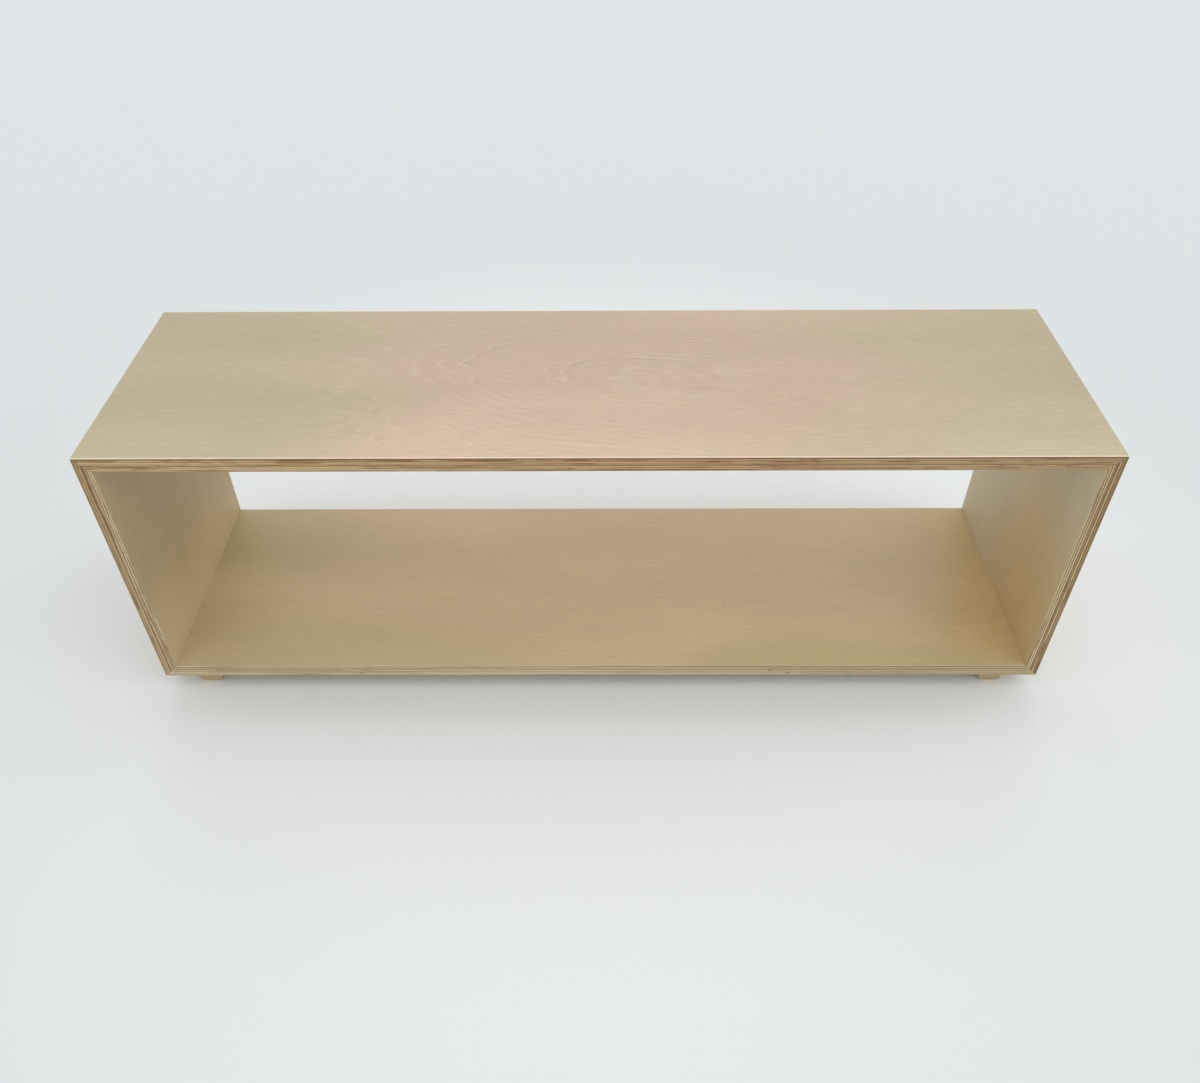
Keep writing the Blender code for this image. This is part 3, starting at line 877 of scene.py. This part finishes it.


# %% [markdown]
# ### The four boards in their places
# All four boards come from the same tree and the same material. What differs is written down here: where each
# lies, how its outer face is turned, what is let into it, and how its sheets look. A zone is an oval on the
# shown face: its middle along and across, its half length and half width in mm, its softness and its tone. A
# hill has its middle, half length and half width in mm, its turn in degrees and its height. The veneers are
# named from the outer face inwards.

# %% The top and the shelf floor
# on each board the value after watering darkens it towards its back edge, which is painted shade
TOP = SimpleNamespace(
    length=LENGTH, place=(0, 0, TOP_Z), turn=(0, 0, 0), holds=("biscuit_top",), shown="outer", seed=3.0,
    veneers="brown brown straw tan straw honey honey tan straw honey straw honey honey".split(),
    edge_tints=("#FFFFFF", "#FBEFEA", "#EEE7E2"), sap="#B7AB8D", reverse="#C0B294",
    zones=[(30, 0, 360, 260, 1.0, "#C5AF97"), (-10, -100, 200, 70, 1.0, "#C8B29B"),
           (510, -125, 130, 60, 1.5, "#BDB193")],
    hills=[(40, -8, 200, 92, -22, 0.62), (330, 18, 260, 92, 3, 0.55), (172, 20, 42, 34, 0, 0.14),
           (-200, -85, 85, 45, -50, -0.35), (-372, -46, 26, 15, 0, -0.1), (-280, -61, 20, 13, 0, -0.1)],
    # arris, the last value, sets the painted highlight on the arrises and the painted light along the long
    # edges
    clearest=(-60, -20, 270, 170), figure=0.36, watering=0.045, drift=0.06, streaks=0.85, arris=0.85)
BOTTOM = SimpleNamespace(
    length=LENGTH, place=(0, 0, BASE_Z), turn=(0, pi, 0), holds=("biscuit_bottom", "screw"),
    shown="inner", seed=41.0,
    veneers="straw straw cream straw cream honey cream straw honey straw cream tan cream".split(),
    edge_tints=("#E5E2E4", "#F8F7FF", "#F1F0F3"), sap="#BCAF85", reverse="#C4B48E",
    # the first and third zones are the wood's own tones; the second is painted warm bounce light at the right
    # end of the bay, and the fourth a painted patch of light
    zones=[(-60, 0, 480, 300, 1.0, "#CFB995"), (-520, -50, 80, 160, 1.3, "#D2B98A"),
           (-310, -165, 190, 62, 1.0, "#C2B388"), (-375, 10, 120, 100, 1.4, "#D3BF9B")],
    hills=[(-330, 60, 200, 60, 0, 0.5), (250, -40, 300, 70, 0, 0.6)],
    clearest=(0, 0, 500, 200), figure=0.08, watering=0.02, drift=0.045, streaks=0.35, arris=0.2)
print("zones and hills of the top:", len(TOP.zones), len(TOP.hills))

# %% The two sides
MIDDLE_Z = BASE_Z + HEIGHT / 2
# what the two sides have in common
SIDE = dict(length=HEIGHT, shown="inner", reverse="#C0B190", clearest=(0, 0, 300, 200), figure=0.08,
            watering=0.015, drift=0.0, streaks=0.8, arris=0.2)
LEFT = SimpleNamespace(
    **SIDE, place=(cad_low.x, 0, MIDDLE_Z), turn=(0, -pi / 2, 0),
    holds=("biscuit_top_left", "biscuit_bottom_left"), seed=77.0,
    veneers="honey tan straw tan straw honey brown straw straw tan cream honey cream".split(),
    # this sapwood tone is darker than the right side's, and the difference is painted shade
    edge_tints=("#FFFFFF", "#F9F9FA", "#F4EFEB"), sap="#AF9D7A",
    zones=[(-200, 0, 130, 400, 1.4, "#C6B28C")], hills=[(40, -50, 240, 60, 0, 0.6)])
RIGHT = SimpleNamespace(
    **SIDE, place=(cad_high.x, 0, MIDDLE_Z), turn=(0, pi / 2, 0),
    holds=("biscuit_top_right", "biscuit_bottom_right"), seed=113.0,
    veneers="tan tan honey brown cream tan honey tan cream tan cream tan cream".split(),
    edge_tints=("#EEE5E1", "#F7F4EE", "#FFFDFB"), sap="#C9BC9F",
    # this zone is painted warm bounce light on the low front of the inner face, not a tone of the wood
    zones=[(150, -130, 190, 170, 2.2, "#C2AA7E")], hills=[(-80, 40, 260, 70, 0, 0.6)])
print("sides, long in mm:", round(HEIGHT / MM, 1))

# %% Build the boards
BOARDS = {"top_panel": TOP, "bottom_panel": BOTTOM, "left_side": LEFT, "right_side": RIGHT}
for node, board in BOARDS.items():
    wood = birch_plywood("birch_plywood_" + node, board)
    inputs = {"Length": board.length, "Material": wood, **BOARD_SIZES}
    where = Matrix.Translation(board.place) @ Euler(board.turn).to_matrix().to_4x4()
    piece = from_tree(node.replace("_panel", "") + "_board", board_tree, inputs, where)
    cut_pockets(piece, [name for name in frame["nodes"] if name.startswith(board.holds)])
    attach(piece, "root")
    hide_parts(node)

# %% [markdown]
# ## The battens
# The two battens under the shelf are sawn from solid birch and planed. The CAD solids have the right shape,
# with rounded lower edges and holes for the screws, so they stay and only get their wood. In solid wood the
# growth rings are nested cylinders round the pith, a line that lies a little outside the batten. Cut across,
# they are arcs on the end grain, and cut lengthwise they are nearly straight lines, so one distance from that
# line draws both. The battens are mirror twins, so the distance is measured with the sign of X left out.

# %% Planed birch material
# the pith lies 36 mm outside the middle of the batten and 60 mm below it
PITH = (535 * MM, 0.0, -49 * MM)
RING_WIDTH = 2.5 * MM
# each ring is pale and then slightly darker before the next
LATE_FROM, LATE_STRENGTH = 0.45, 0.35

planed_birch, t = start_material("planed_birch")
spot = add_node(t, "ShaderNodeTexCoord", out="Object")
spot = add_node(t, VECTOR_MATH, {0: spot}, operation="ABSOLUTE")
# the rings sway by less than one ring, over about 25 mm across the batten and 140 mm along it
sway_scale = (1 / (25 * MM), 1 / (140 * MM), 1 / (25 * MM))
sway = add_node(t, VECTOR_MATH, {0: spot, 1: sway_scale}, operation="MULTIPLY")
sway = add_node(t, NOISE, {"Vector": sway, "Scale": 1.0, "Detail": 1.0})
to_pith = add_node(t, VECTOR_MATH, {0: spot, 1: PITH}, operation="SUBTRACT")
to_pith = add_node(t, VECTOR_MATH, {0: to_pith, 1: (1.0, 0.0, 1.0)}, operation="MULTIPLY")
to_pith = add_node(t, VECTOR_MATH, {0: to_pith}, out="Value", operation="LENGTH")
ring = add_node(t, MATH, {0: to_pith, 1: 1 / RING_WIDTH, 2: sway}, operation="MULTIPLY_ADD")
ring = add_node(t, MATH, {0: ring}, operation="FRACT")
late = add_node(t, RANGE, {"Value": ring, "From Min": LATE_FROM, "From Max": 1.0,
                           "To Min": 0.0, "To Max": LATE_STRENGTH}, **SMOOTH)
# fibres about 0.9 mm wide and 28 mm long, wider than real pores, so that they show
fibre_scale = (1 / (0.9 * MM), 1 / (28 * MM), 1 / (0.9 * MM))
fibre = add_node(t, VECTOR_MATH, {0: spot, 1: fibre_scale}, operation="MULTIPLY")
fibre = add_node(t, NOISE, {"Vector": fibre, "Scale": 1.0, "Detail": 3.0, "Roughness": 0.6})
wood = add_node(t, MIX, {FACTOR: late, COLOUR_A: colour("#BDA882"), COLOUR_B: colour("#9A7E58")},
                **MIX_COLOURS)
shade = add_node(t, RANGE, {"Value": fibre, **NOISE_SPAN, "To Min": 0.9, "To Max": 1.07})
wood = add_node(t, VECTOR_MATH, {0: wood, "Scale": shade}, operation="SCALE")
gloss = add_node(t, RANGE, {"Value": fibre, **GLOSS_SPAN, "To Min": 0.6, "To Max": 0.48})
relief = add_node(t, "ShaderNodeBump", {"Height": fibre, "Strength": 0.3, "Distance": 0.1 * MM})
shader = add_node(t, "ShaderNodeBsdfPrincipled", {"Base Color": wood, "Roughness": gloss,
                                                  "Normal": relief, **SATIN_LACQUER})
add_node(t, "ShaderNodeOutputMaterial", {"Surface": shader})
print("nodes for planed birch:", len(t.nodes))


# %% Dress the battens
def dress(nodes, material):
    for node in nodes:
        for slot in frame["nodes"][node].material_slots:
            slot.material = material


battens = [name for name in frame["nodes"] if name.startswith("runner_")]
dress(battens, planed_birch)
for node in battens:
    low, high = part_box(node)
    print(node, "is", [round((b - a) / MM, 1) for a, b in zip(low, high)], "mm")

# %% [markdown]
# ## The biscuits
# A joiner's biscuit is a thin lens of beech, stamped out with its grain on the slant and pressed, so that it
# swells in the wet glue and locks the mitre. All twelve are sealed inside the corners. The CAD solids stay
# and get pressed beech: a warm brown with the short dark rays that tell beech from other pale woods.

# %% Pressed beech material
RAY_FROM, RAY_FULL, RAY_STRENGTH = 0.6, 0.72, 0.6

pressed_beech, t = start_material("pressed_beech")
spot = add_node(t, "ShaderNodeTexCoord", out="Object")
spot = add_node(t, MAPPING, {"Vector": spot, "Rotation": (radians(45), 0, 0)})
# rays about 0.5 mm wide and 4 mm long
ray_scale = (1 / (0.5 * MM), 1 / (4 * MM), 1 / (0.5 * MM))
ray = add_node(t, VECTOR_MATH, {0: spot, 1: ray_scale}, operation="MULTIPLY")
ray = add_node(t, NOISE, {"Vector": ray, "Scale": 1.0, "Detail": 1.0})
ray = add_node(t, RANGE, {"Value": ray, "From Min": RAY_FROM, "From Max": RAY_FULL,
                          "To Min": 0.0, "To Max": RAY_STRENGTH})
wood = add_node(t, MIX, {FACTOR: ray, COLOUR_A: colour("#C9A173"), COLOUR_B: colour("#8F6440")},
                **MIX_COLOURS)
relief = add_node(t, "ShaderNodeBump", {"Height": ray, "Strength": 0.3, "Distance": 0.1 * MM})
shader = add_node(t, "ShaderNodeBsdfPrincipled", {"Base Color": wood, "Roughness": 0.75, "Normal": relief,
                                                  "IOR": 1.5})
add_node(t, "ShaderNodeOutputMaterial", {"Surface": shader})

biscuits = [name for name in frame["nodes"] if name.startswith("biscuit_")]
dress(biscuits, pressed_beech)
print(len(biscuits), "biscuits of pressed beech")

# %% [markdown]
# ## The screws
# Three countersunk wood screws hold each batten from below. A screw is a turned body with a cone under the
# head, a cross cut into the head, and a thread that winds round the core. The thread follows a path and the
# screws repeat, so a Geometry Nodes tree makes all six: a line with changing radius is swept into the body, a
# spiral is swept into the thread, two crossed bars cut the recess, and a grid of points sets the screws out.
# Each one stopped at another turn of the driver, which a fixed seed decides.

# %% Sizes of the screws
first_low, first_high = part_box("screw_left_1")
SCREW_SIZES = {
    "Batten Spacing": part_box("screw_right_1")[0][0] - first_low[0],
    "Screw Spacing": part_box("screw_left_2")[0][1] - first_low[1],
    "Head Face": first_low[2], "Length": first_high[2] - first_low[2],
    "Head Radius": (first_high[0] - first_low[0]) / 2,
    "Rim": 0.4 * MM, "Shank Radius": 1.5 * MM, "Core Radius": 1.3 * MM, "Thread Height": 0.65 * MM,
    "Thread Start": 10 * MM, "Point": 6 * MM, "Pitch": 1.8 * MM,
    "Recess Width": 4.6 * MM, "Recess Slot": 1.0 * MM, "Recess Depth": 1.6 * MM,
    "Screws Per Batten": 3, "Seed": 7,
}
screw_tree = start_tree("wood_screws", SCREW_SIZES)
print("screw sizes in mm:", {k: round(v / MM, 2) for k, v in SCREW_SIZES.items() if isinstance(v, float)})

# %% Geometry Nodes tree: the body of a screw
SHOULDER = 0.5 * MM
TIP_RADIUS = 0.15 * MM
ROUND_STEPS = 24
g = screw_tree
size = add_node(g, "NodeGroupInput").node.outputs
index = add_node(g, "GeometryNodeInputIndex")
cone_end = add_node(g, MATH, {0: size["Head Radius"], 1: size["Shank Radius"]}, operation="SUBTRACT")
cone_end = add_node(g, MATH, {0: cone_end, 1: size["Rim"]}, operation="ADD")
core_start = add_node(g, MATH, {0: size["Thread Start"], 1: SHOULDER}, operation="ADD")
point_start = add_node(g, MATH, {0: size["Length"], 1: size["Point"]}, operation="SUBTRACT")
# seven stations from the head's face to the point: how high each one is, and how wide the screw is there
heights = add_node(g, "GeometryNodeIndexSwitch", {0: index}, data_type="FLOAT").node
radii = add_node(g, "GeometryNodeIndexSwitch", {0: index}, data_type="FLOAT").node
stations = [(0.0, size["Head Radius"]), (size["Rim"], size["Head Radius"]), (cone_end, size["Shank Radius"]),
            (size["Thread Start"], size["Shank Radius"]), (core_start, size["Core Radius"]),
            (point_start, size["Core Radius"]), (size["Length"], TIP_RADIUS)]
for switch, column in ((heights, 0), (radii, 1)):
    while len(switch.index_switch_items) < len(stations):
        switch.index_switch_items.new()
    for socket, station in zip(list(switch.inputs)[1:], stations):
        if isinstance(station[column], float):
            socket.default_value = station[column]
        else:
            g.links.new(station[column], socket)
axis = add_node(g, JOIN_XYZ, {2: heights.outputs[0]})
body = add_node(g, "GeometryNodePoints", {"Count": len(stations), "Position": axis})
body = add_node(g, "GeometryNodePointsToCurves", {"Points": body})
ring = add_node(g, "GeometryNodeCurvePrimitiveCircle", {"Resolution": ROUND_STEPS, "Radius": 1.0})
body = add_node(g, "GeometryNodeCurveToMesh",
                {"Curve": body, "Profile Curve": ring, "Scale": radii.outputs[0], "Fill Caps": True})
print("nodes for the body:", len(g.nodes))

# %% Geometry Nodes tree: the cross recess
twice_deep = add_node(g, MATH, {0: size["Recess Depth"], 1: 2.0}, operation="MULTIPLY")
bar = add_node(g, JOIN_XYZ, {0: size["Recess Width"], 1: size["Recess Slot"], 2: twice_deep})
bar = add_node(g, "GeometryNodeMeshCube", {"Size": bar})
other_bar = add_node(g, "GeometryNodeTransform", {"Geometry": bar, "Rotation": (0, 0, pi / 2)})
for cutter in (bar, other_bar):
    body = add_node(g, "GeometryNodeMeshBoolean", {"Mesh 1": body, "Mesh 2": cutter},
                    operation="DIFFERENCE", solver="EXACT")
print("nodes with the recess:", len(g.nodes))

# %% Geometry Nodes tree: the thread
THREAD_STEPS = 20
thread_rise = add_node(g, MATH, {0: point_start, 1: size["Thread Start"]}, operation="SUBTRACT")
turns = add_node(g, MATH, {0: thread_rise, 1: size["Pitch"]}, operation="DIVIDE")
thread = add_node(g, "GeometryNodeCurveSpiral",
                  {"Resolution": THREAD_STEPS, "Rotations": turns, "Start Radius": size["Core Radius"],
                   "End Radius": size["Core Radius"], "Height": thread_rise})
# with upright normals one corner of the small square profile points straight outwards
thread = add_node(g, "GeometryNodeSetCurveNormal", {"Curve": thread}, mode="Z_UP")
ridge = add_node(g, "GeometryNodeCurvePrimitiveCircle", {"Resolution": 4, "Radius": size["Thread Height"]})
thread = add_node(g, "GeometryNodeCurveToMesh", {"Curve": thread, "Profile Curve": ridge, "Fill Caps": True})
lift = add_node(g, JOIN_XYZ, {2: core_start})
thread = add_node(g, "GeometryNodeTransform", {"Geometry": thread, "Translation": lift})
screw = add_node(g, "GeometryNodeJoinGeometry", {0: thread})
g.links.new(body, screw.node.inputs[0])
print("nodes with the thread:", len(g.nodes))

# %% Geometry Nodes tree: two rows of screws
gaps = add_node(g, MATH, {0: size["Screws Per Batten"], 1: 1.0}, operation="SUBTRACT")
row = add_node(g, MATH, {0: gaps, 1: size["Screw Spacing"]}, operation="MULTIPLY")
spots = add_node(g, "GeometryNodeMeshGrid", {"Size X": size["Batten Spacing"], "Size Y": row,
                                             "Vertices X": 2, "Vertices Y": size["Screws Per Batten"]})
head_face = add_node(g, JOIN_XYZ, {2: size["Head Face"]})
spots = add_node(g, "GeometryNodeSetPosition", {"Geometry": spots, "Offset": head_face})
stopped = add_node(g, "FunctionNodeRandomValue", {"Seed": size["Seed"], 1: (0, 0, 2 * pi)},
                   data_type="FLOAT_VECTOR")
screws = add_node(g, "GeometryNodeInstanceOnPoints",
                  {"Points": spots, "Instance": screw, "Rotation": stopped})
screws = add_node(g, "GeometryNodeRealizeInstances", {"Geometry": screws})
screws = add_node(g, "GeometryNodeSetMaterial", {"Geometry": screws, "Material": size["Material"]})
add_node(g, "NodeGroupOutput", {0: screws})
print("nodes for all screws:", len(g.nodes))

# %% [markdown]
# ### Zinc plate
# Cheap wood screws are steel with a bright zinc plate. It is a metal, so its colour is in its reflection, and
# the thin chromate film over it wanders a little between blue and straw. Tumbling in the drum dulls it in
# spots.

# %% Zinc plated steel and the screws themselves
SPOT_SIZE = 1.5 * MM
zinc_plate, t = start_material("zinc_plated_steel")
spot = add_node(t, "ShaderNodeTexCoord", out="Object")
film = add_node(t, NOISE, {"Vector": spot, "Scale": 1 / SPOT_SIZE, "Detail": 2.0})
plate = add_node(t, MIX, {FACTOR: film, COLOUR_A: colour("#BFC4C8"), COLOUR_B: colour("#D0CBBB")},
                 **MIX_COLOURS)
gloss = add_node(t, RANGE, {"Value": film, **GLOSS_SPAN, "To Min": 0.24, "To Max": 0.42})
shader = add_node(t, "ShaderNodeBsdfPrincipled", {"Base Color": plate, "Metallic": 1.0, "Roughness": gloss})
add_node(t, "ShaderNodeOutputMaterial", {"Surface": shader})

screw_piece = from_tree("batten_screws", screw_tree, {**SCREW_SIZES, "Material": zinc_plate}, turned=True)
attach(screw_piece, "root")
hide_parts(*(name for name in frame["nodes"] if name.startswith("screw_")))
